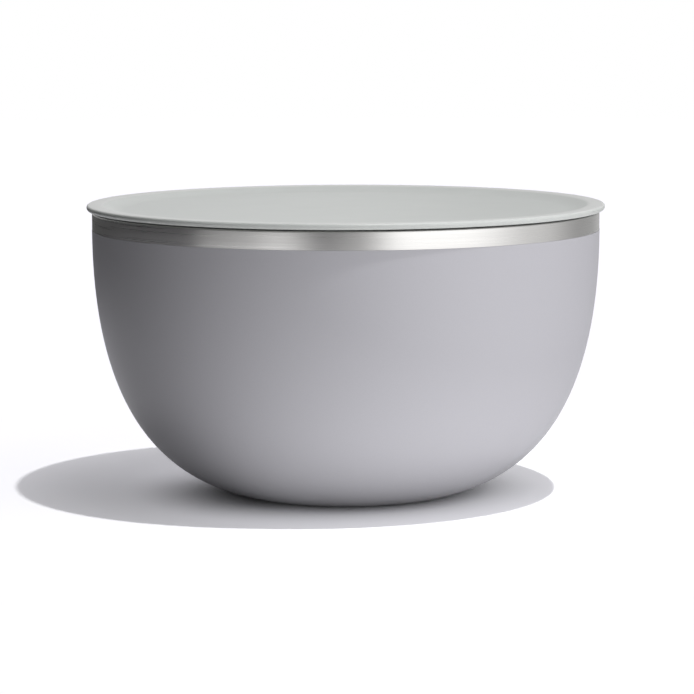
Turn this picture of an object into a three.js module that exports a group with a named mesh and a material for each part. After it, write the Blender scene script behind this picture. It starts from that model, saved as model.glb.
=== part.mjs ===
// A double-walled serving bowl with a press-in lid, in millimetres, +Z up. The origin is the middle
// of the underside of the base pad. Each piece is a body of revolution, drawn as an outline of
// radius and height that is turned about the bowl's upright axis, or the getter's own.
import * as THREE from "three";

// The drawn steel bowl
const BOWL_RADIUS = 133; // outside of the bare steel band
const RIM_HEIGHT = 149; // standing surface to the top of the rim
const BAND_HEIGHT = 9.8; // rim top down to the lower edge of the bare steel
const SHEET = 0.7; // stainless sheet of both walls
const WALL_GAP = 4.6; // vacuum between the walls at the mouth
const BASE_RADIUS = 58; // where the wall leaves the standing ring
const BASE_ANGLE = 13.8; // degrees that the wall rises at as it leaves the ring
const BASE_PULL = 51; // how far the wall keeps to that angle
const RIM_PULL = 81; // how far the wall stays upright below the band
const FLOOR_BEND = 30; // round of the liner's floor into its wall
const MOUTH_BEND = 1.7; // inside bend of the liner's sheet over the mouth
const FOLD_BEND = 0.5; // inside bend of the sheet where the rim folds down
const SEAM_LAP = 5; // height of the shell's lip tucked up behind the band

// The base
const STANDING_RING = 4; // width of the pressed ring under the shell
const POCKET_DEPTH = 1.8; // how far the shell's floor is pressed up inside the ring
const PAD_PROUD = 0.5; // pad below the standing ring
const PAD_TREAD = 13; // width of the ring that the pad stands on
const PAD_RECESS = 0.6; // hollow of the pad inside its tread
const PAD_ROUND = 0.4; // lower edge of the pad

// The evacuation hole and its seal
const HOLE_RADIUS = 1;
const DIMPLE_SEAT = 1.6; // flat ring round the hole, at the top of its dimple
const DIMPLE_FLARE = 2.4; // how far the dimple opens out downwards
const DIMPLE_DEPTH = 2.2;

// The getter
const GETTER_OFFSET = 28; // bowl's axis to the getter's
const CUP_RADIUS = 8;
const CUP_HEIGHT = 4;
const CUP_SHEET = 0.5;
const PELLET_HEIGHT = 2.4;
const PELLET_CHAMFER = 0.4;
const GETTER_HEADROOM = 2.9; // getter cup up to the liner

// The moulded lid
const LID_OVERHANG = 2.8; // flange out past the band
const FLANGE = 3.1; // thickness of the flange at its edge
const FLANGE_ROUND_TOP = 1.3;
const FLANGE_ROUND_UNDER = 1;
const LAND_WIDTH = 8.6; // flat land round the dished top
const DISH_DEPTH = 3;
const DISH_INSET = 1.7; // plug wall in to the foot of the dish's slope
const SLOPE_HEAD_ROUND = 8;
const SLOPE_FOOT_ROUND = 20;
const PANEL = 2; // thickness of the dish's floor
const PANEL_ROUND = 1; // inner corner under the dish
const PLUG_WALL = 1.8;
const PLUG_CLEARANCE = 1.5; // plug to the liner, which the gasket bridges
const PLUG_NECK = 3.7; // flange down to the gasket groove's upper flange
const GROOVE_FLANGE = 1.5; // thickness of the two flanges that hold the gasket
const GROOVE_HEIGHT = 4;
const GROOVE_DEPTH = 2.2;

// The gasket
const LIP_ROOT = 1.2; // height of a sealing lip where it leaves the ring
const LIP_TIP = 0.5;
const LIP_RISE = 0.6; // how far a lip sweeps up on its way out

// Clearance between pieces that touch
const FIT = 0.3;

// Facets
const ROUND_SEGMENTS = 60;
const SMALL_SEGMENTS = 24;
const WALL_STEPS = 8;
const ARC_STEP = Math.PI / 6;
const LEAST_ARC_STEPS = 2;
const FILLET_SHARE = 0.49; // most of a straight stretch that one fillet takes up

// Heights and radii that follow
const footHeight = PAD_PROUD;
const pocketHeight = footHeight + POCKET_DEPTH;
const pocketRadius = BASE_RADIUS - STANDING_RING;
const cupSeat = pocketHeight + SHEET + FIT;
const linerUnderside = cupSeat + CUP_HEIGHT + GETTER_HEADROOM;
const skirtHeight = RIM_HEIGHT - BAND_HEIGHT;
const shoulderHeight = skirtHeight - FIT;
const lipRadius = BOWL_RADIUS - SHEET - FIT;
const linerOutside = BOWL_RADIUS - SHEET - WALL_GAP;
const mouthRadius = linerOutside - SHEET;
const dimpleTop = HOLE_RADIUS + DIMPLE_SEAT;
const dimpleFoot = dimpleTop + DIMPLE_FLARE;
const plugRadius = mouthRadius - PLUG_CLEARANCE;
const grooveRadius = plugRadius - GROOVE_DEPTH;
const plugInside = grooveRadius - PLUG_WALL;

const powderCoat = new THREE.MeshStandardMaterial({ color: 0xb1b0b7, roughness: 0.55, metalness: 0 });
const brushedSteel = new THREE.MeshStandardMaterial({ color: 0xc4c3c0, roughness: 0.32, metalness: 1 });
const lidPlastic = new THREE.MeshStandardMaterial({ color: 0xc6c9c7, roughness: 0.45, metalness: 0 });
const paleSilicone = new THREE.MeshStandardMaterial({ color: 0xa9acad, roughness: 0.6, metalness: 0 });
const darkSilicone = new THREE.MeshStandardMaterial({ color: 0x77777d, roughness: 0.7, metalness: 0 });
const solderGlass = new THREE.MeshStandardMaterial({ color: 0x4b4f4c, roughness: 0.2, metalness: 0 });
const getterAlloy = new THREE.MeshStandardMaterial({ color: 0x6f6c68, roughness: 0.8, metalness: 0.4 });

// A corner of an outline, with the fillet that rounds it
function corner(radius, height, fillet = 0) {
  return { point: new THREE.Vector2(radius, height), fillet };
}

// The arc that rounds one corner, drawn tangent to the stretches before and after it
function filletArc(before, point, after, fillet) {
  const back = before.clone().sub(point);
  const onward = after.clone().sub(point);
  const room = FILLET_SHARE * Math.min(back.length(), onward.length());
  const halfAngle = Math.acos(back.normalize().dot(onward.normalize())) / 2;
  const reach = Math.min(fillet / Math.tan(halfAngle), room);
  const middle = back.clone().add(onward).normalize();
  const centre = point.clone().addScaledVector(middle, reach / Math.cos(halfAngle));
  const start = point.clone().addScaledVector(back, reach);
  const turn = Math.sign(onward.cross(back)) * (Math.PI - 2 * halfAngle);
  const steps = Math.max(LEAST_ARC_STEPS, Math.ceil(Math.abs(turn) / ARC_STEP));
  const arc = [];
  for (let step = 0; step <= steps; step += 1) {
    arc.push(start.clone().rotateAround(centre, (turn * step) / steps));
  }
  return arc;
}

// An outline through its corners, with an arc in place of each rounded one
function roundedOutline(corners) {
  return corners.flatMap(({ point, fillet }, index) => {
    if (fillet === 0) {
      return [point];
    }
    return filletArc(corners[index - 1].point, point, corners[index + 1].point, fillet);
  });
}

// A piece turned about the upright axis. An outline that keeps off the axis closes on itself.
function turned(name, material, corners, segments = ROUND_SEGMENTS) {
  const outline = roundedOutline(corners);
  if (outline[0].x > 0) {
    outline.push(outline[0]);
  }
  const geometry = new THREE.LatheGeometry(outline, segments);
  geometry.rotateX(Math.PI / 2);
  const mesh = new THREE.Mesh(geometry, material);
  mesh.name = name;
  return mesh;
}

// The wall's curve in section, from the base out and up to where it stands upright. The inset
// moves its upper end in from the band, and the lift moves its lower end up from the base.
function wallCurve(inset, lift) {
  const angle = THREE.MathUtils.degToRad(BASE_ANGLE);
  const foot = new THREE.Vector2(BASE_RADIUS, footHeight + lift);
  const head = new THREE.Vector2(BOWL_RADIUS - inset, shoulderHeight);
  const footPull = new THREE.Vector2(Math.cos(angle), Math.sin(angle)).multiplyScalar(BASE_PULL).add(foot);
  const headPull = new THREE.Vector2(head.x, head.y - RIM_PULL);
  return new THREE.CubicBezierCurve(foot, footPull, headPull, head);
}

// Corners up a wall, moved off its curve towards the inside of the bowl by the offset
function wallCorners(curve, offset) {
  const corners = [];
  for (let step = 0; step <= WALL_STEPS; step += 1) {
    const point = curve.getPoint(step / WALL_STEPS);
    const tangent = curve.getTangent(step / WALL_STEPS);
    corners.push(corner(point.x - tangent.y * offset, point.y + tangent.x * offset));
  }
  return corners;
}

// The shell is drawn from one sheet. Its floor is pressed up inside the standing ring, with a
// dimple round the evacuation hole, and its lip steps in to sit behind the liner's band.
function outerShell() {
  const curve = wallCurve(0, 0);
  const stepHeight = shoulderHeight - SHEET;
  return turned("outer_shell", powderCoat, [
    corner(HOLE_RADIUS, pocketHeight + DIMPLE_DEPTH),
    corner(dimpleTop, pocketHeight + DIMPLE_DEPTH),
    corner(dimpleFoot, pocketHeight),
    corner(pocketRadius, pocketHeight),
    corner(pocketRadius, footHeight),
    ...wallCorners(curve, 0),
    corner(lipRadius, shoulderHeight),
    corner(lipRadius, shoulderHeight + SEAM_LAP),
    corner(lipRadius - SHEET, shoulderHeight + SEAM_LAP),
    corner(lipRadius - SHEET, stepHeight),
    corner(BOWL_RADIUS - SHEET, stepHeight),
    ...wallCorners(curve, SHEET).slice(0, -1).reverse(),
    corner(pocketRadius - SHEET, footHeight + SHEET),
    corner(pocketRadius - SHEET, pocketHeight + SHEET),
    corner(dimpleFoot + SHEET, pocketHeight + SHEET),
    corner(dimpleTop + SHEET, pocketHeight + DIMPLE_DEPTH + SHEET),
    corner(HOLE_RADIUS, pocketHeight + DIMPLE_DEPTH + SHEET),
  ]);
}

// The liner is drawn from one sheet too. Over the mouth it folds out across the rim and down
// outside the shell's lip, and that skirt is the bare steel band.
function innerLiner() {
  const curve = wallCurve(SHEET + WALL_GAP, linerUnderside - footHeight);
  const [underFoot, ...outside] = wallCorners(curve, 0);
  const [floorFoot, ...inside] = wallCorners(curve, SHEET);
  return turned("inner_liner", brushedSteel, [
    corner(0, linerUnderside),
    { ...underFoot, fillet: FLOOR_BEND + SHEET },
    ...outside,
    corner(linerOutside, RIM_HEIGHT - SHEET, MOUTH_BEND),
    corner(BOWL_RADIUS - SHEET, RIM_HEIGHT - SHEET, FOLD_BEND),
    corner(BOWL_RADIUS - SHEET, skirtHeight),
    corner(BOWL_RADIUS, skirtHeight),
    corner(BOWL_RADIUS, RIM_HEIGHT, FOLD_BEND + SHEET),
    corner(mouthRadius, RIM_HEIGHT, MOUTH_BEND + SHEET),
    ...inside.reverse(),
    { ...floorFoot, fillet: FLOOR_BEND },
    corner(0, linerUnderside + SHEET),
  ]);
}

// The bead of glass that closes the hole: it fills the dimple from below, with a stem in the hole
function vacuumSeal() {
  const flareSlope = DIMPLE_FLARE / DIMPLE_DEPTH;
  const seatTop = pocketHeight + DIMPLE_DEPTH - FIT;
  const seatRadius = dimpleTop + FIT * (flareSlope - Math.hypot(1, flareSlope));
  const beadRadius = seatRadius + flareSlope * (DIMPLE_DEPTH - 2 * FIT);
  const stemRadius = HOLE_RADIUS - FIT;
  const corners = [
    corner(0, pocketHeight + FIT),
    corner(beadRadius, pocketHeight + FIT),
    corner(seatRadius, seatTop),
    corner(stemRadius, seatTop),
    corner(stemRadius, seatTop + SHEET),
    corner(0, seatTop + SHEET),
  ];
  return turned("vacuum_seal", solderGlass, corners, SMALL_SEGMENTS);
}

// The getter: a pressed cup that stands on the shell's floor, with the pellet in it
function getter() {
  const boreRadius = CUP_RADIUS - CUP_SHEET;
  const cup = turned("getter_cup", brushedSteel, [
    corner(0, 0),
    corner(CUP_RADIUS, 0),
    corner(CUP_RADIUS, CUP_HEIGHT),
    corner(boreRadius, CUP_HEIGHT),
    corner(boreRadius, CUP_SHEET),
    corner(0, CUP_SHEET),
  ], SMALL_SEGMENTS);
  const pelletRadius = boreRadius - FIT;
  const pellet = turned("getter_pellet", getterAlloy, [
    corner(0, 0),
    corner(pelletRadius, 0),
    corner(pelletRadius, PELLET_HEIGHT - PELLET_CHAMFER),
    corner(pelletRadius - PELLET_CHAMFER, PELLET_HEIGHT),
    corner(0, PELLET_HEIGHT),
  ], SMALL_SEGMENTS);
  pellet.position.z = CUP_SHEET + FIT;
  const group = new THREE.Group();
  group.add(cup, pellet);
  group.position.set(GETTER_OFFSET, 0, cupSeat);
  return group;
}

// The pad lies in the pressed-up base and stands on a tread round its hollow underside
function basePad() {
  const padRadius = pocketRadius - FIT;
  const padTop = pocketHeight - FIT;
  return turned("base_pad", darkSilicone, [
    corner(0, PAD_RECESS),
    corner(padRadius - PAD_TREAD - PAD_RECESS, PAD_RECESS),
    corner(padRadius - PAD_TREAD, 0),
    corner(padRadius, 0, PAD_ROUND),
    corner(padRadius, padTop),
    corner(0, padTop),
  ]);
}

// The lid is one moulding, drawn up from its flange's underside: a dished panel, the flange that
// lies on the rim, and the plug wall with two flanges that hold the gasket between them.
function lidPanel() {
  const lidRadius = BOWL_RADIUS + LID_OVERHANG;
  const dishFloor = FLANGE - DISH_DEPTH;
  const upperFlange = -PLUG_NECK - GROOVE_FLANGE;
  const grooveFloor = upperFlange - GROOVE_HEIGHT;
  const plugEnd = grooveFloor - GROOVE_FLANGE;
  return turned("lid_panel", lidPlastic, [
    corner(0, dishFloor - PANEL),
    corner(plugInside, dishFloor - PANEL, PANEL_ROUND),
    corner(plugInside, plugEnd),
    corner(plugRadius, plugEnd),
    corner(plugRadius, grooveFloor),
    corner(grooveRadius, grooveFloor),
    corner(grooveRadius, upperFlange),
    corner(plugRadius, upperFlange),
    corner(plugRadius, -PLUG_NECK),
    corner(grooveRadius, -PLUG_NECK),
    corner(grooveRadius, 0),
    corner(lidRadius, 0, FLANGE_ROUND_UNDER),
    corner(lidRadius, FLANGE, FLANGE_ROUND_TOP),
    corner(lidRadius - LAND_WIDTH, FLANGE, SLOPE_HEAD_ROUND),
    corner(plugInside - DISH_INSET, dishFloor, SLOPE_FOOT_ROUND),
    corner(0, dishFloor),
  ]);
}

// The gasket is a silicone ring in the groove, with two lips that sweep up and out to the liner
function lidGasket() {
  const boreRadius = grooveRadius + FIT;
  const ringRadius = plugRadius - FIT;
  const tipRadius = mouthRadius - FIT;
  const ringTop = -PLUG_NECK - GROOVE_FLANGE - FIT;
  const ringFoot = ringTop - GROOVE_HEIGHT + 2 * FIT;
  const lip = (root) => [
    corner(ringRadius, root),
    corner(tipRadius, root + LIP_RISE),
    corner(tipRadius, root + LIP_RISE + LIP_TIP),
    corner(ringRadius, root + LIP_ROOT),
  ];
  return turned("lid_gasket", paleSilicone, [
    corner(boreRadius, ringFoot),
    ...lip(ringFoot),
    ...lip(ringTop - LIP_ROOT),
    corner(boreRadius, ringTop),
  ]);
}

const bowl = new THREE.Group();
bowl.add(outerShell(), innerLiner(), vacuumSeal(), getter(), basePad());

const lid = new THREE.Group();
lid.add(lidPanel(), lidGasket());
lid.position.z = RIM_HEIGHT + FIT;

const servingBowl = new THREE.Group();
servingBowl.add(bowl, lid);

export default servingBowl;
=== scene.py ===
import math

import bmesh
import bpy
from mathutils import Matrix, Vector
from mathutils.geometry import interpolate_bezier


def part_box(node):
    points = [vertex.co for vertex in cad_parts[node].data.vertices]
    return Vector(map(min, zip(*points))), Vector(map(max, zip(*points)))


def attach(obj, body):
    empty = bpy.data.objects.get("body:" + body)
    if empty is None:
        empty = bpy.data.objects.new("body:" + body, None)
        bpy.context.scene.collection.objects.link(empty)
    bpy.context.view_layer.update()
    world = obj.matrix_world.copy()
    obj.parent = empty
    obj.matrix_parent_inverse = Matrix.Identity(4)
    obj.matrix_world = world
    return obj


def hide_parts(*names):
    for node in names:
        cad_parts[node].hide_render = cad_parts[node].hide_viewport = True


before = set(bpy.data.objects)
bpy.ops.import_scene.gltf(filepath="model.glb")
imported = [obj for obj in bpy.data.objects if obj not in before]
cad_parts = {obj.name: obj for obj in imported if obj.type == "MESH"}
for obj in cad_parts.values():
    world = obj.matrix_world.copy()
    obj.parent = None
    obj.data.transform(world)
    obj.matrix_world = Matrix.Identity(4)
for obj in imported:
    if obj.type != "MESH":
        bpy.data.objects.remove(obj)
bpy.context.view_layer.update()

# Outer shell: one sheet of stainless steel, deep drawn into a bowl. Its floor is pressed up inside a
# standing ring, with a dimple round the evacuation hole, and its lip steps in behind the liner's band.
# The outside is sprayed with powder and baked, up to the lower edge of that band.
MM = 0.001
sheet = 0.7 * MM
band_height = 9.8 * MM
base_radius = 58 * MM
base_angle = math.radians(13.8)
base_pull = 51 * MM
rim_pull = 81 * MM
standing_ring = 4 * MM
standing_ring_bend = 1 * MM
pocket_depth = 1.8 * MM
pocket_bend = 0.7 * MM
hole_radius = 1 * MM
dimple_seat = 1.6 * MM
dimple_flare = 2.4 * MM
dimple_depth = 2.2 * MM
dimple_bend = 0.6 * MM
coat_film = 0.1 * MM
coat_edge_gap = 0.05 * MM
lip_gap = 0.3 * MM

shell_low, shell_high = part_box("outer_shell")
liner_low, liner_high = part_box("inner_liner")
band_radius = liner_high.x
rim_height = liner_high.z
skirt_height = rim_height - band_height
coat_height = skirt_height - coat_edge_gap
coat_radius = band_radius + coat_film
lip_radius = band_radius - sheet - lip_gap
pocket_radius = base_radius - standing_ring
pocket_height = shell_low.z + pocket_depth
dimple_height = pocket_height + dimple_depth
dimple_top = hole_radius + dimple_seat

WALL_POINTS = 40
ROUND_SEGMENTS = 8
TURN_STEPS = 240
MERGE_DISTANCE = 0.001 * MM
SHARP_ANGLE = math.radians(35)


def wall_corners(foot_height, head_radius):
    """Corners up a wall: it leaves the base at a low angle and comes to stand upright at the head."""
    foot = Vector((base_radius, 0, foot_height))
    head = Vector((head_radius, 0, coat_height))
    foot_pull = foot + base_pull * Vector((math.cos(base_angle), 0, math.sin(base_angle)))
    head_pull = head - Vector((0, 0, rim_pull))
    curve = interpolate_bezier(foot, foot_pull, head_pull, head, WALL_POINTS)
    return [(point.x, point.z, 0) for point in curve]


def draw_outline(corners, closed=False):
    """A chain of edges through corners of radius, height and bend. The bend is the length of each edge that
    the rounding takes."""
    outline = bmesh.new()
    points = [outline.verts.new((radius, 0, height)) for radius, height, bend in corners]
    for point, following in zip(points, points[1:]):
        outline.edges.new((point, following))
    if closed:
        outline.edges.new((points[-1], points[0]))
    for point, (radius, height, bend) in zip(points, corners):
        if bend > 0:
            bmesh.ops.bevel(outline, geom=[point], offset=bend, offset_type="OFFSET", affect="VERTICES",
                            segments=ROUND_SEGMENTS, profile=0.5, material=-1)
    return outline


def turn_outline(outline, steps):
    """Turns an outline once round the upright axis, merges its seam and poles and sets its faces right."""
    bmesh.ops.spin(outline, geom=outline.verts[:] + outline.edges[:], cent=(0, 0, 0), axis=(0, 0, 1),
                   dvec=(0, 0, 0), angle=math.tau, steps=steps, use_merge=True, use_duplicate=False)
    bmesh.ops.remove_doubles(outline, verts=outline.verts[:], dist=MERGE_DISTANCE)
    bmesh.ops.recalc_face_normals(outline, faces=outline.faces[:])


def add_piece(name, shape, material):
    """The finished object of a shape, smooth but for its sharp edges."""
    mesh = bpy.data.meshes.new(name)
    shape.to_mesh(mesh)
    shape.free()
    mesh.shade_smooth()
    mesh.set_sharp_from_angle(angle=SHARP_ANGLE)
    mesh.materials.append(material)
    piece = bpy.data.objects.new(name, mesh)
    bpy.context.collection.objects.link(piece)
    return piece


def linear(hex_colour):
    """The linear colour of an sRGB hex value."""
    shares = [int(hex_colour[place:place + 2], 16) / 255 for place in (1, 3, 5)]
    return [share / 12.92 if share <= 0.04045 else ((share + 0.055) / 1.055) ** 2.4 for share in shares] + [1]


def add_node(tree, kind, settings, inputs):
    """Adds a node with its settings, and gives each input a value or a link from another node's output."""
    node = tree.nodes.new(kind)
    for name, setting in settings.items():
        setattr(node, name, setting)
    for name, given in inputs.items():
        if isinstance(given, bpy.types.NodeSocket):
            tree.links.new(given, node.inputs[name])
        else:
            node.inputs[name].default_value = given
    return node


def new_material(name):
    """A material with an empty node tree."""
    material = bpy.data.materials.new(name)
    material.use_nodes = True
    material.node_tree.nodes.clear()
    return material


# Baked polyester powder gives the eye a matt skin with a faint grain and a soft orange peel. The grain
# is really about 0.15 mm across, and is drawn coarser so that it shows.
coat_colour = "#B3B2B8"
coat_grain_colour = "#ADACB2"
coat_grain = 0.6 * MM
coat_peel = 2.4 * MM
coat_grain_relief = 0.02 * MM
coat_peel_relief = 0.01 * MM

# A Mix node repeats its sockets' names for each kind of data, so those for colour go by their number.
COLOUR_FROM = 6
COLOUR_TO = 7
COLOUR_MIXED = 2

powder_coat = new_material("baked_powder_coat")
coat_tree = powder_coat.node_tree
coat_place = add_node(coat_tree, "ShaderNodeTexCoord", {}, {}).outputs["Object"]
coat_grain_noise = add_node(coat_tree, "ShaderNodeTexNoise", {}, {
    "Vector": coat_place, "Scale": 1 / coat_grain, "Detail": 3.0, "Roughness": 0.6}).outputs["Fac"]
coat_peel_noise = add_node(coat_tree, "ShaderNodeTexNoise", {}, {
    "Vector": coat_place, "Scale": 1 / coat_peel, "Detail": 1.0}).outputs["Fac"]
coat_tint = add_node(coat_tree, "ShaderNodeMix", {"data_type": "RGBA"}, {
    "Factor": coat_grain_noise, COLOUR_FROM: linear(coat_grain_colour),
    COLOUR_TO: linear(coat_colour)}).outputs[COLOUR_MIXED]
coat_roughness = add_node(coat_tree, "ShaderNodeMapRange", {}, {
    "Value": coat_grain_noise, "To Min": 0.52, "To Max": 0.44}).outputs["Result"]
coat_peel_bump = add_node(coat_tree, "ShaderNodeBump", {}, {
    "Strength": 0.5, "Distance": coat_peel_relief, "Height": coat_peel_noise}).outputs["Normal"]
coat_bump = add_node(coat_tree, "ShaderNodeBump", {}, {
    "Strength": 0.5, "Distance": coat_grain_relief, "Height": coat_grain_noise,
    "Normal": coat_peel_bump}).outputs["Normal"]
coat_shader = add_node(coat_tree, "ShaderNodeBsdfPrincipled", {}, {
    "Base Color": coat_tint, "Roughness": coat_roughness, "IOR": 1.5, "Specular IOR Level": 0.3,
    "Normal": coat_bump})
add_node(coat_tree, "ShaderNodeOutputMaterial", {}, {"Surface": coat_shader.outputs["BSDF"]})

shell_shape = draw_outline([
    (hole_radius, dimple_height, 0),
    (dimple_top, dimple_height, dimple_bend),
    (dimple_top + dimple_flare, pocket_height, dimple_bend),
    (pocket_radius, pocket_height, pocket_bend),
    (pocket_radius, shell_low.z, standing_ring_bend),
    *wall_corners(shell_low.z, coat_radius),
    (lip_radius, coat_height, 0),
    (lip_radius, shell_high.z, 0),
])
turn_outline(shell_shape, TURN_STEPS)
bmesh.ops.solidify(shell_shape, geom=shell_shape.faces[:], thickness=sheet)
shell = add_piece("bowl_shell", shell_shape, powder_coat)
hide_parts("outer_shell")
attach(shell, "bowl")

# Inner liner: a second drawn sheet, which holds the food. Over the mouth it folds out across the rim and
# down outside the shell's lip, where it is welded, and that skirt is the bare band. It is left uncoated.
floor_bend = 3.6 * MM
mouth_bend = 2.4 * MM
fold_bend = 0.7 * MM
rim_fall = 0.6 * MM
wall_gap = 4.6 * MM
mouth_radius = band_radius - 2 * sheet - wall_gap
floor_height = liner_low.z + sheet

# Stainless steel, brushed while it turns, gives the eye fine rings round the bowl and highlights that
# stretch across them. The lines are really about 0.1 mm apart, and are drawn coarser so that they show.
steel_colour = "#D5D4D2"
steel_line_colour = "#C2C1BF"
brush_spacing = 0.5 * MM
brush_length = 150 * MM
brush_sway = 0.03

brushed_steel = new_material("brushed_stainless_steel")
steel_tree = brushed_steel.node_tree
steel_place = add_node(steel_tree, "ShaderNodeTexCoord", {}, {}).outputs["Object"]
steel_flat = add_node(steel_tree, "ShaderNodeVectorMath", {"operation": "MULTIPLY"}, {
    0: steel_place, 1: (1, 1, 0)}).outputs["Vector"]
steel_radius = add_node(steel_tree, "ShaderNodeVectorMath", {"operation": "LENGTH"}, {
    0: steel_flat}).outputs["Value"]
steel_height = add_node(steel_tree, "ShaderNodeSeparateXYZ", {}, {"Vector": steel_place}).outputs["Z"]
steel_run = add_node(steel_tree, "ShaderNodeMath", {"operation": "ADD"}, {
    0: steel_radius, 1: steel_height}).outputs["Value"]
steel_rise = add_node(steel_tree, "ShaderNodeCombineXYZ", {}, {"Z": steel_run}).outputs["Vector"]
steel_ring = add_node(steel_tree, "ShaderNodeVectorMath", {"operation": "ADD"}, {
    0: steel_flat, 1: steel_rise}).outputs["Vector"]
steel_stretch = add_node(steel_tree, "ShaderNodeMapping", {}, {
    "Vector": steel_ring, "Scale": (1 / brush_length, 1 / brush_length, 1 / brush_spacing)}).outputs["Vector"]
steel_lines = add_node(steel_tree, "ShaderNodeTexNoise", {}, {
    "Vector": steel_stretch, "Scale": 1.0, "Detail": 4.0, "Roughness": 0.65}).outputs["Fac"]
steel_tint = add_node(steel_tree, "ShaderNodeMix", {"data_type": "RGBA"}, {
    "Factor": steel_lines, COLOUR_FROM: linear(steel_line_colour),
    COLOUR_TO: linear(steel_colour)}).outputs[COLOUR_MIXED]
steel_roughness = add_node(steel_tree, "ShaderNodeMapRange", {}, {
    "Value": steel_lines, "From Min": 0.25, "From Max": 0.75,
    "To Min": 0.34, "To Max": 0.25}).outputs["Result"]
steel_tangent = add_node(steel_tree, "ShaderNodeTangent", {
    "direction_type": "RADIAL", "axis": "Z"}, {}).outputs["Tangent"]
steel_turn = add_node(steel_tree, "ShaderNodeMapRange", {}, {
    "Value": steel_lines, "To Min": -brush_sway, "To Max": brush_sway}).outputs["Result"]
steel_sway = add_node(steel_tree, "ShaderNodeVectorMath", {"operation": "SCALE"}, {
    0: steel_tangent, "Scale": steel_turn}).outputs["Vector"]
steel_face = add_node(steel_tree, "ShaderNodeNewGeometry", {}, {}).outputs["Normal"]
steel_lean = add_node(steel_tree, "ShaderNodeVectorMath", {"operation": "ADD"}, {
    0: steel_face, 1: steel_sway}).outputs["Vector"]
steel_normal = add_node(steel_tree, "ShaderNodeVectorMath", {"operation": "NORMALIZE"}, {
    0: steel_lean}).outputs["Vector"]
steel_shader = add_node(steel_tree, "ShaderNodeBsdfPrincipled", {}, {
    "Base Color": steel_tint, "Metallic": 1.0, "Roughness": steel_roughness, "Anisotropic": 0.7,
    "Anisotropic Rotation": 0.25, "Normal": steel_normal, "Tangent": steel_tangent})
add_node(steel_tree, "ShaderNodeOutputMaterial", {}, {"Surface": steel_shader.outputs["BSDF"]})

liner_wall = wall_corners(floor_height, mouth_radius)
foot_radius, foot_height, _ = liner_wall[0]
liner_shape = draw_outline([
    (0, floor_height, 0),
    (foot_radius, foot_height, floor_bend),
    *liner_wall[1:],
    (mouth_radius, rim_height, mouth_bend),
    (band_radius, rim_height - rim_fall, fold_bend),
    (band_radius, skirt_height, 0),
])
turn_outline(liner_shape, TURN_STEPS)
bmesh.ops.solidify(liner_shape, geom=liner_shape.faces[:], thickness=sheet)
liner = add_piece("bowl_liner", liner_shape, brushed_steel)
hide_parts("inner_liner")
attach(liner, "bowl")

# Vacuum seal: a bead of solder glass that melted into the dimple in the furnace, once the air was out,
# with a stem drawn up into the evacuation hole. The base pad hides it.
seal_edge = 0.4 * MM
seal_tip = 0.3 * MM
seal_clearance = 0.3 * MM
seat_inset = 0.12 * MM
seal_low, seal_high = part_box("vacuum_seal")
stem_radius = hole_radius - seal_clearance
seat_height = dimple_height - seal_clearance
seat_radius = dimple_top - seat_inset

# Solder glass is dark and opaque, and it comes out of the furnace glossy, with faint clouds in it.
glass_colour = "#4B4F4C"
glass_cloud_colour = "#3D413F"
glass_cloud = 1.5 * MM

solder_glass = new_material("solder_glass")
glass_tree = solder_glass.node_tree
glass_place = add_node(glass_tree, "ShaderNodeTexCoord", {}, {}).outputs["Object"]
glass_noise = add_node(glass_tree, "ShaderNodeTexNoise", {}, {
    "Vector": glass_place, "Scale": 1 / glass_cloud, "Detail": 2.0, "Distortion": 0.8}).outputs["Fac"]
glass_tint = add_node(glass_tree, "ShaderNodeMix", {"data_type": "RGBA"}, {
    "Factor": glass_noise, COLOUR_FROM: linear(glass_cloud_colour),
    COLOUR_TO: linear(glass_colour)}).outputs[COLOUR_MIXED]
glass_shader = add_node(glass_tree, "ShaderNodeBsdfPrincipled", {}, {
    "Base Color": glass_tint, "Roughness": 0.12, "IOR": 1.7})
add_node(glass_tree, "ShaderNodeOutputMaterial", {}, {"Surface": glass_shader.outputs["BSDF"]})

SMALL_TURN_STEPS = 64
seal_shape = draw_outline([
    (0, seal_low.z, 0),
    (seal_high.x, seal_low.z, seal_edge),
    (seat_radius, seat_height, seal_edge),
    (stem_radius, seat_height, seal_tip),
    (stem_radius, seal_high.z, seal_tip),
    (0, seal_high.z, 0),
])
turn_outline(seal_shape, SMALL_TURN_STEPS)
seal = add_piece("glass_seal", seal_shape, solder_glass)
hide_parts("vacuum_seal")
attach(seal, "bowl")

# Getter: a small cup pressed from thin stainless strip, spot welded to the shell's floor inside the
# vacuum, with a tablet of pressed metal powder in it that takes up the last of the gas.
cup_sheet = 0.5 * MM
cup_bend = 0.9 * MM
tablet_edge = 0.4 * MM
cup_low, cup_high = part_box("getter_cup")
tablet_low, tablet_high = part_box("getter_pellet")
getter_middle = (cup_low + cup_high) / 2
cup_radius = cup_high.x - getter_middle.x
tablet_radius = tablet_high.x - getter_middle.x

# Pressed alloy powder is dull and grey, with grains of about 0.2 mm that catch the light one by one.
powder_colour = "#77736E"
powder_pore_shade_colour = "#5E5B57"
powder_grain = 0.2 * MM
powder_relief = 0.05 * MM

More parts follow.
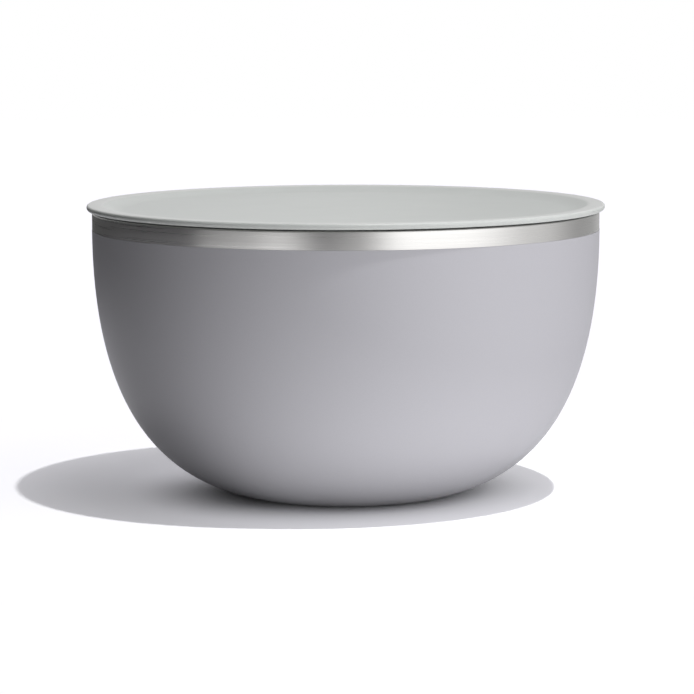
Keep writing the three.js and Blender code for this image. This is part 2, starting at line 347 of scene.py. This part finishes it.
getter_alloy = new_material("pressed_getter_powder")
powder_tree = getter_alloy.node_tree
powder_place = add_node(powder_tree, "ShaderNodeTexCoord", {}, {}).outputs["Object"]
powder_cells = add_node(powder_tree, "ShaderNodeTexVoronoi", {}, {
    "Vector": powder_place, "Scale": 1 / powder_grain}).outputs["Distance"]
# The grains' edges are painted darker, as painted shade in the pores between them.
powder_tint_with_pore_shade = add_node(powder_tree, "ShaderNodeMix", {"data_type": "RGBA"}, {
    "Factor": powder_cells, COLOUR_FROM: linear(powder_colour),
    COLOUR_TO: linear(powder_pore_shade_colour)}).outputs[COLOUR_MIXED]
powder_bump = add_node(powder_tree, "ShaderNodeBump", {"invert": True}, {
    "Strength": 0.8, "Distance": powder_relief, "Height": powder_cells}).outputs["Normal"]
powder_shader = add_node(powder_tree, "ShaderNodeBsdfPrincipled", {}, {
    "Base Color": powder_tint_with_pore_shade, "Metallic": 0.6, "Roughness": 0.7, "Normal": powder_bump})
add_node(powder_tree, "ShaderNodeOutputMaterial", {}, {"Surface": powder_shader.outputs["BSDF"]})

cup_shape = draw_outline([
    (0, cup_low.z, 0),
    (cup_radius, cup_low.z, cup_bend),
    (cup_radius, cup_high.z, 0),
])
turn_outline(cup_shape, SMALL_TURN_STEPS)
bmesh.ops.solidify(cup_shape, geom=cup_shape.faces[:], thickness=cup_sheet)
bmesh.ops.translate(cup_shape, vec=(getter_middle.x, getter_middle.y, 0), verts=cup_shape.verts[:])
cup = add_piece("getter_dish", cup_shape, brushed_steel)
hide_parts("getter_cup")
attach(cup, "bowl")

tablet_shape = draw_outline([
    (0, tablet_low.z, 0),
    (tablet_radius, tablet_low.z, tablet_edge),
    (tablet_radius, tablet_high.z, tablet_edge),
    (0, tablet_high.z, 0),
])
turn_outline(tablet_shape, SMALL_TURN_STEPS)
bmesh.ops.translate(tablet_shape, vec=(getter_middle.x, getter_middle.y, 0), verts=tablet_shape.verts[:])
tablet = add_piece("getter_tablet", tablet_shape, getter_alloy)
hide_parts("getter_pellet")
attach(tablet, "bowl")

# Base pad: a disc of silicone rubber, compression moulded and bonded into the pressed-up floor. It stands
# a little proud of the steel, on a tread round its hollow middle, so that the bowl doesn't slide.
pad_tread = 13 * MM
pad_recess = 0.6 * MM
pad_edge = 0.4 * MM
pad_low, pad_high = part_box("base_pad")
tread_radius = pad_high.x - pad_tread

# Moulded silicone gives the eye a soft matt grey with a fine frosted grain from the etched mould.
pad_colour = "#7B7B81"
pad_grain_colour = "#727278"
pad_grain = 0.4 * MM
pad_relief = 0.02 * MM

pad_silicone = new_material("moulded_grey_silicone")
pad_tree = pad_silicone.node_tree
pad_place = add_node(pad_tree, "ShaderNodeTexCoord", {}, {}).outputs["Object"]
pad_noise = add_node(pad_tree, "ShaderNodeTexNoise", {}, {
    "Vector": pad_place, "Scale": 1 / pad_grain, "Detail": 3.0}).outputs["Fac"]
pad_tint = add_node(pad_tree, "ShaderNodeMix", {"data_type": "RGBA"}, {
    "Factor": pad_noise, COLOUR_FROM: linear(pad_grain_colour),
    COLOUR_TO: linear(pad_colour)}).outputs[COLOUR_MIXED]
pad_bump = add_node(pad_tree, "ShaderNodeBump", {}, {
    "Strength": 0.6, "Distance": pad_relief, "Height": pad_noise}).outputs["Normal"]
pad_shader = add_node(pad_tree, "ShaderNodeBsdfPrincipled", {}, {
    "Base Color": pad_tint, "Roughness": 0.66, "IOR": 1.41, "Normal": pad_bump})
add_node(pad_tree, "ShaderNodeOutputMaterial", {}, {"Surface": pad_shader.outputs["BSDF"]})

pad_shape = draw_outline([
    (0, pad_low.z + pad_recess, 0),
    (tread_radius - pad_recess, pad_low.z + pad_recess, pad_edge),
    (tread_radius, pad_low.z, pad_edge),
    (pad_high.x, pad_low.z, pad_edge),
    (pad_high.x, pad_high.z, pad_edge),
    (0, pad_high.z, 0),
])
turn_outline(pad_shape, TURN_STEPS)
pad = add_piece("bowl_pad", pad_shape, pad_silicone)
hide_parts("base_pad")
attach(pad, "bowl")

# Lid: one injection moulding in polypropylene. A flat land runs round a shallow dish, the flange lies on
# the steel rim, and a plug wall reaches down into the mouth, with two flanges that hold the gasket.
flange = 3.1 * MM
flange_top_bend = 1.2 * MM
flange_under_bend = 1.7 * MM
land_width = 8.6 * MM
land_bend = 1.55 * MM
dish_depth = 3 * MM
dish_bend = 3.9 * MM
dish_inset = 1.7 * MM
panel = 2 * MM
plug_wall = 1.8 * MM
plug_clearance = 1.5 * MM
plug_neck = 3.7 * MM
groove_flange = 1.5 * MM
groove_gap = 4 * MM
groove_depth = 2.2 * MM
plug_bend = 0.5 * MM
groove_bend = 0.3 * MM

lid_low, lid_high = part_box("lid_panel")
lid_radius = lid_high.x
flange_height = lid_high.z - flange
land_radius = lid_radius - land_width
dish_height = lid_high.z - dish_depth
plug_radius = mouth_radius - plug_clearance
groove_radius = plug_radius - groove_depth
plug_inside = groove_radius - plug_wall
upper_flange_top = flange_height - plug_neck
groove_top = upper_flange_top - groove_flange
groove_foot = groove_top - groove_gap

# Moulded polypropylene gives the eye a light satin grey, with the very fine grain of a spark-eroded
# mould and a slight cloudiness. The grain is really under 0.1 mm, and is drawn coarser so that it shows.
lid_colour = "#C4C7C5"
lid_cloud_colour = "#BFC2C0"
lid_land_colour = "#CFD0CF"
lid_grain = 0.5 * MM
lid_cloud = 18 * MM
lid_relief = 0.012 * MM
land_tint_depth = 0.5 * MM

lid_plastic = new_material("moulded_polypropylene")
lid_tree = lid_plastic.node_tree
lid_place = add_node(lid_tree, "ShaderNodeTexCoord", {}, {}).outputs["Object"]
lid_grain_noise = add_node(lid_tree, "ShaderNodeTexNoise", {}, {
    "Vector": lid_place, "Scale": 1 / lid_grain, "Detail": 2.0}).outputs["Fac"]
lid_cloud_noise = add_node(lid_tree, "ShaderNodeTexNoise", {}, {
    "Vector": lid_place, "Scale": 1 / lid_cloud, "Detail": 2.0}).outputs["Fac"]
lid_dish_tint = add_node(lid_tree, "ShaderNodeMix", {"data_type": "RGBA"}, {
    "Factor": lid_cloud_noise, COLOUR_FROM: linear(lid_cloud_colour),
    COLOUR_TO: linear(lid_colour)}).outputs[COLOUR_MIXED]
# Everything within half a millimetre of the top, which is the land, is drawn a lighter, more neutral grey
# than the dish.
lid_level = add_node(lid_tree, "ShaderNodeSeparateXYZ", {}, {"Vector": lid_place}).outputs["Z"]
lid_on_land = add_node(lid_tree, "ShaderNodeMapRange", {"interpolation_type": "SMOOTHSTEP"}, {
    "Value": lid_level, "From Min": lid_high.z - land_tint_depth, "From Max": lid_high.z}).outputs["Result"]
lid_tint = add_node(lid_tree, "ShaderNodeMix", {"data_type": "RGBA"}, {
    "Factor": lid_on_land, COLOUR_FROM: lid_dish_tint,
    COLOUR_TO: linear(lid_land_colour)}).outputs[COLOUR_MIXED]
lid_roughness = add_node(lid_tree, "ShaderNodeMapRange", {}, {
    "Value": lid_grain_noise, "To Min": 0.5, "To Max": 0.4}).outputs["Result"]
lid_bump = add_node(lid_tree, "ShaderNodeBump", {}, {
    "Strength": 0.5, "Distance": lid_relief, "Height": lid_grain_noise}).outputs["Normal"]
lid_shader = add_node(lid_tree, "ShaderNodeBsdfPrincipled", {}, {
    "Base Color": lid_tint, "Roughness": lid_roughness, "IOR": 1.49, "Normal": lid_bump})
add_node(lid_tree, "ShaderNodeOutputMaterial", {}, {"Surface": lid_shader.outputs["BSDF"]})

lid_shape = draw_outline([
    (0, dish_height - panel, 0),
    (plug_inside, dish_height - panel, plug_bend),
    (plug_inside, lid_low.z, plug_bend),
    (plug_radius, lid_low.z, plug_bend),
    (plug_radius, groove_foot, groove_bend),
    (groove_radius, groove_foot, groove_bend),
    (groove_radius, groove_top, groove_bend),
    (plug_radius, groove_top, groove_bend),
    (plug_radius, upper_flange_top, plug_bend),
    (groove_radius, upper_flange_top, plug_bend),
    (groove_radius, flange_height, plug_bend),
    (lid_radius, flange_height, flange_under_bend),
    (lid_radius, lid_high.z, flange_top_bend),
    (land_radius, lid_high.z, land_bend),
    (plug_inside - dish_inset, dish_height, dish_bend),
    (0, dish_height, 0),
])
turn_outline(lid_shape, TURN_STEPS)
lid = add_piece("lid_moulding", lid_shape, lid_plastic)
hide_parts("lid_panel")
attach(lid, "lid")

# Lid gasket: a silicone ring stretched over the plug wall into its groove. Two thin lips sweep up and out
# to the liner's wall, and bend against it to seal the bowl and hold the lid in.
gasket_fit = 0.3 * MM
lip_root = 1.2 * MM
lip_tip = 0.5 * MM
lip_rise = 0.6 * MM
lip_bend = 0.2 * MM
gasket_low, gasket_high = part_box("lid_gasket")
gasket_bore = groove_radius + gasket_fit
gasket_ring = plug_radius - gasket_fit
lip_foot_low = gasket_low.z
lip_foot_high = gasket_high.z - lip_root

# Food-grade silicone is pale, soft and satin, and lets a little light into its thin lips.
gasket_colour = "#B0B3B4"
gasket_cloud_colour = "#A6A9AA"
gasket_cloud = 3 * MM
gasket_light_depth = (1.5 * MM, 1.5 * MM, 1.5 * MM)

gasket_silicone = new_material("food_grade_silicone")
gasket_tree = gasket_silicone.node_tree
gasket_place = add_node(gasket_tree, "ShaderNodeTexCoord", {}, {}).outputs["Object"]
gasket_noise = add_node(gasket_tree, "ShaderNodeTexNoise", {}, {
    "Vector": gasket_place, "Scale": 1 / gasket_cloud, "Detail": 3.0}).outputs["Fac"]
gasket_tint = add_node(gasket_tree, "ShaderNodeMix", {"data_type": "RGBA"}, {
    "Factor": gasket_noise, COLOUR_FROM: linear(gasket_cloud_colour),
    COLOUR_TO: linear(gasket_colour)}).outputs[COLOUR_MIXED]
gasket_shader = add_node(gasket_tree, "ShaderNodeBsdfPrincipled", {}, {
    "Base Color": gasket_tint, "Roughness": 0.42, "IOR": 1.41, "Subsurface Weight": 0.3,
    "Subsurface Radius": gasket_light_depth, "Subsurface Scale": 1.0})
add_node(gasket_tree, "ShaderNodeOutputMaterial", {}, {"Surface": gasket_shader.outputs["BSDF"]})

gasket_corners = [(gasket_bore, gasket_low.z, lip_bend)]
for lip_foot in (lip_foot_low, lip_foot_high):
    gasket_corners += [
        (gasket_ring, lip_foot, 0),
        (gasket_high.x, lip_foot + lip_rise, lip_bend),
        (gasket_high.x, lip_foot + lip_rise + lip_tip, lip_bend),
        (gasket_ring, lip_foot + lip_root, 0),
    ]
gasket_corners += [(gasket_bore, gasket_high.z, lip_bend)]
gasket_shape = draw_outline(gasket_corners, closed=True)
turn_outline(gasket_shape, TURN_STEPS)
gasket = add_piece("lid_seal", gasket_shape, gasket_silicone)
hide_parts("lid_gasket")
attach(gasket, "lid")

# Floor: a pale studio floor that takes the bowl's shadow. It runs out to plain white for the eye and for
# reflections, and so does the space round it. It glows up at the bowl from all sides but the left. It is
# clear from below, and an opening under the pad lets that be seen and lit.
floor_colour = "#F8F8FB"
floor_bounce_colour = "#525253"
# A painted lavender tint on the floor's seen light. It shows only in the shadow, as the lit floor clips to
# white.
floor_painted_shadow_tint = "#FAF9FF"
floor_lift = 0.25
white_level = 1.06
floor_radius = 4.0
floor_opening = 0.053
floor_drop = 0.1 * MM

# Distances from the bowl's axis, in metres: where the floor runs out to white, where the painted shade under
# the bowl gives way, and where the glow rises and falls. The glow's stops are bearings and strengths.
fade = (0.12, 0.33)
painted_contact_shade = (0.058, 0.12)
glow_inside = (0.045, 0.17)
glow_outside = (0.34, 0.54)
glow_stops = [(-180, 1.4), (-150, 1.6), (-120, 1.6), (-100, 0.2), (-84, 0), (-52, 0), (-16, 1.1), (15, 1.4),
              (55, 1.4), (85, 0.6), (125, 0.45), (150, 1.0), (180, 1.4)]


def add_seen(tree):
    """One for a ray that shows the background: from the camera, or by a reflection or through glass."""
    light_path = add_node(tree, "ShaderNodeLightPath", {}, {})
    either = add_node(tree, "ShaderNodeMath", {"operation": "MAXIMUM"}, {
        0: light_path.outputs["Is Camera Ray"], 1: light_path.outputs["Is Glossy Ray"]}).outputs["Value"]
    return add_node(tree, "ShaderNodeMath", {"operation": "MAXIMUM"}, {
        0: either, 1: light_path.outputs["Is Transmission Ray"]}).outputs["Value"]


def add_bearing_light(tree, place, stops):
    """The strength of light round the bowl, eased from stop to stop of a bearing and a strength. Bearings are
    in degrees from the camera's side towards the right."""
    turned = add_node(tree, "ShaderNodeMapping", {}, {
        "Vector": place, "Rotation": (0, 0, math.pi / 2)}).outputs["Vector"]
    round_share = add_node(tree, "ShaderNodeTexGradient", {"gradient_type": "RADIAL"}, {
        "Vector": turned}).outputs["Fac"]
    ramp = add_node(tree, "ShaderNodeValToRGB", {}, {"Fac": round_share})
    ramp.color_ramp.interpolation = "EASE"
    for bearing, strength in stops[1:-1]:
        ramp.color_ramp.elements.new(bearing / 360 + 0.5)
    for element, (bearing, strength) in zip(ramp.color_ramp.elements, stops):
        element.color = (strength, strength, strength, 1)
    return ramp.outputs["Color"]


floor_white = new_material("pale_studio_floor")
floor_tree = floor_white.node_tree
floor_seen = add_seen(floor_tree)
floor_place = add_node(floor_tree, "ShaderNodeTexCoord", {}, {}).outputs["Object"]
floor_distance = add_node(floor_tree, "ShaderNodeVectorMath", {"operation": "LENGTH"}, {
    0: floor_place}).outputs["Value"]
floor_fade = add_node(floor_tree, "ShaderNodeMapRange", {"interpolation_type": "SMOOTHSTEP"}, {
    "Value": floor_distance, "From Min": fade[0], "From Max": fade[1]}).outputs["Result"]
floor_shown_tint = add_node(floor_tree, "ShaderNodeMix", {"data_type": "RGBA"}, {
    "Factor": floor_fade, COLOUR_FROM: linear(floor_colour),
    COLOUR_TO: linear("#000000")}).outputs[COLOUR_MIXED]
floor_tint = add_node(floor_tree, "ShaderNodeMix", {"data_type": "RGBA"}, {
    "Factor": floor_seen, COLOUR_FROM: linear(floor_bounce_colour),
    COLOUR_TO: floor_shown_tint}).outputs[COLOUR_MIXED]
# Painted shade: the floor's seen light drops to nothing under the bowl and rises to its lift further out.
floor_lift_past_painted_shade = add_node(floor_tree, "ShaderNodeMapRange", {"interpolation_type": "SMOOTHSTEP"}, {
    "Value": floor_distance, "From Min": painted_contact_shade[0], "From Max": painted_contact_shade[1],
    "To Max": floor_lift}).outputs["Result"]
floor_white_out = add_node(floor_tree, "ShaderNodeMapRange", {}, {
    "Value": floor_fade, "To Min": floor_lift_past_painted_shade, "To Max": white_level}).outputs["Result"]
glow_rise = add_node(floor_tree, "ShaderNodeMapRange", {"interpolation_type": "SMOOTHSTEP"}, {
    "Value": floor_distance, "From Min": glow_inside[0], "From Max": glow_inside[1]}).outputs["Result"]
glow_fall = add_node(floor_tree, "ShaderNodeMapRange", {"interpolation_type": "SMOOTHSTEP"}, {
    "Value": floor_distance, "From Min": glow_outside[0], "From Max": glow_outside[1],
    "To Min": 1.0, "To Max": 0.0}).outputs["Result"]
glow_ring = add_node(floor_tree, "ShaderNodeMath", {"operation": "MULTIPLY"}, {
    0: glow_rise, 1: glow_fall}).outputs["Value"]
glow_round = add_bearing_light(floor_tree, floor_place, glow_stops)
floor_glow = add_node(floor_tree, "ShaderNodeMath", {"operation": "MULTIPLY"}, {
    0: glow_ring, 1: glow_round}).outputs["Value"]
floor_strength = add_node(floor_tree, "ShaderNodeMix", {"data_type": "FLOAT"}, {
    "Factor": floor_seen, "A": floor_glow, "B": floor_white_out}).outputs["Result"]
floor_matt = add_node(floor_tree, "ShaderNodeBsdfDiffuse", {}, {"Color": floor_tint}).outputs["BSDF"]
# The glow stays white, and the seen light takes the painted shadow tint.
floor_glow_and_painted_shadow_tint = add_node(floor_tree, "ShaderNodeMix", {"data_type": "RGBA"}, {
    "Factor": floor_seen, COLOUR_FROM: linear("#FFFFFF"),
    COLOUR_TO: linear(floor_painted_shadow_tint)}).outputs[COLOUR_MIXED]
floor_light = add_node(floor_tree, "ShaderNodeEmission", {}, {
    "Color": floor_glow_and_painted_shadow_tint, "Strength": floor_strength}).outputs["Emission"]
floor_top = add_node(floor_tree, "ShaderNodeAddShader", {}, {0: floor_matt, 1: floor_light}).outputs["Shader"]
floor_clear = add_node(floor_tree, "ShaderNodeBsdfTransparent", {}, {}).outputs["BSDF"]
floor_from_below = add_node(floor_tree, "ShaderNodeNewGeometry", {}, {}).outputs["Backfacing"]
floor_shader = add_node(floor_tree, "ShaderNodeMixShader", {}, {
    "Fac": floor_from_below, 1: floor_top, 2: floor_clear})
add_node(floor_tree, "ShaderNodeOutputMaterial", {}, {"Surface": floor_shader.outputs["Shader"]})

FLOOR_STEPS = 96
floor_shape = draw_outline([(floor_opening, -floor_drop, 0), (floor_radius, -floor_drop, 0)])
turn_outline(floor_shape, FLOOR_STEPS)
if min(face.normal.z for face in floor_shape.faces) < 0:
    bmesh.ops.reverse_faces(floor_shape, faces=floor_shape.faces[:])
floor = add_piece("studio_floor", floor_shape, floor_white)

space = bpy.data.worlds.new("white_space")
space.use_nodes = True
space.node_tree.nodes.clear()
space_seen = add_seen(space.node_tree)
space_shader = add_node(space.node_tree, "ShaderNodeBackground", {}, {
    "Color": linear("#FFFFFF"), "Strength": space_seen})
add_node(space.node_tree, "ShaderNodeOutputWorld", {}, {"Surface": space_shader.outputs["Background"]})
bpy.context.scene.world = space

# Studio light: a small lamp high on the right throws the clear shadow, and one under the floor lights the
# pad. A tent of cards stands round the bowl, out of the camera's sight: a soft box on the right, a weak
# fill on the left, a black card behind that, and white ones at the back.
tent_radius = 0.65
tent_foot = 0.0
tent_join = 0.15
tent_head = 0.6

# The low cards show in the steel band, and the high ones light the coat and the lid.
low_card_stops = [(-180, 0.85), (-170, 0.6), (-156, 0.06), (-125, 0), (-68, 0), (-55, 0.65), (-42, 0.95),
                  (-26, 1.6), (-8, 0.25), (4, 0.5), (24, 1.8), (46, 1.65), (85, 0.85), (118, 0.4),
                  (136, 0.45), (150, 0.6), (172, 0.5), (180, 0.85)]
high_card_stops = [(-180, 0.85), (-150, 0.6), (-115, 0.1), (-90, 0), (-44, 0), (-26, 0.25), (-8, 0.1),
                   (4, 0.3), (25, 1.9), (46, 2.0), (85, 1.0), (118, 0.5), (146, 0.45), (168, 0.35),
                   (180, 0.85)]
tent_walls = {
    "tent_foot": (tent_foot, tent_join, low_card_stops),
    "tent_wall": (tent_join, tent_head, high_card_stops),
}
TENT_STEPS = 120
for name, (foot, head, stops) in tent_walls.items():
    tent_light = new_material(name)
    tent_tree = tent_light.node_tree
    tent_place = add_node(tent_tree, "ShaderNodeTexCoord", {}, {}).outputs["Object"]
    tent_shader = add_node(tent_tree, "ShaderNodeEmission", {}, {
        "Color": add_bearing_light(tent_tree, tent_place, stops)})
    add_node(tent_tree, "ShaderNodeOutputMaterial", {}, {"Surface": tent_shader.outputs["Emission"]})
    tent_shape = draw_outline([(tent_radius, foot, 0), (tent_radius, head, 0)])
    turn_outline(tent_shape, TENT_STEPS)
    tent = add_piece(name, tent_shape, tent_light)
    tent.visible_camera = False

# Each lamp's place and width in metres, and its power in watts
lamps = {
    "key_lamp": (Vector((0.92, -0.62, 4.0)), 0.1, 110),
    "under_lamp": (Vector((-0.5, -0.8, -1.5)), 0.5, 20),
}
for name, (place, size, power) in lamps.items():
    lamp_light = bpy.data.lights.new(name, "AREA")
    lamp_light.shape = "DISK"
    lamp_light.size = size
    lamp_light.energy = power
    lamp = bpy.data.objects.new(name, lamp_light)
    lamp_aim = Vector((0, 0, rim_height)) - place
    lamp.matrix_world = Matrix.LocRotScale(place, lamp_aim.to_track_quat("-Z", "Y"), None)
    bpy.context.collection.objects.link(lamp)

# Camera: a long lens a little above the rim, square on to the bowl, as the photograph was taken.
camera_place = Vector((0.0005, -1.6143, 0.2752))
camera_dip = math.radians(7.038)
camera_roll = math.radians(-0.1465)

lens = bpy.data.cameras.new("camera")
lens.sensor_width = 36
lens.lens = 159.6
camera = bpy.data.objects.new("camera", lens)
camera_aim = Matrix.Rotation(math.pi / 2 - camera_dip, 4, "X") @ Matrix.Rotation(camera_roll, 4, "Z")
camera.matrix_world = Matrix.Translation(camera_place) @ camera_aim
bpy.context.collection.objects.link(camera)
bpy.context.scene.camera = camera
bpy.context.scene.view_settings.view_transform = "Standard"
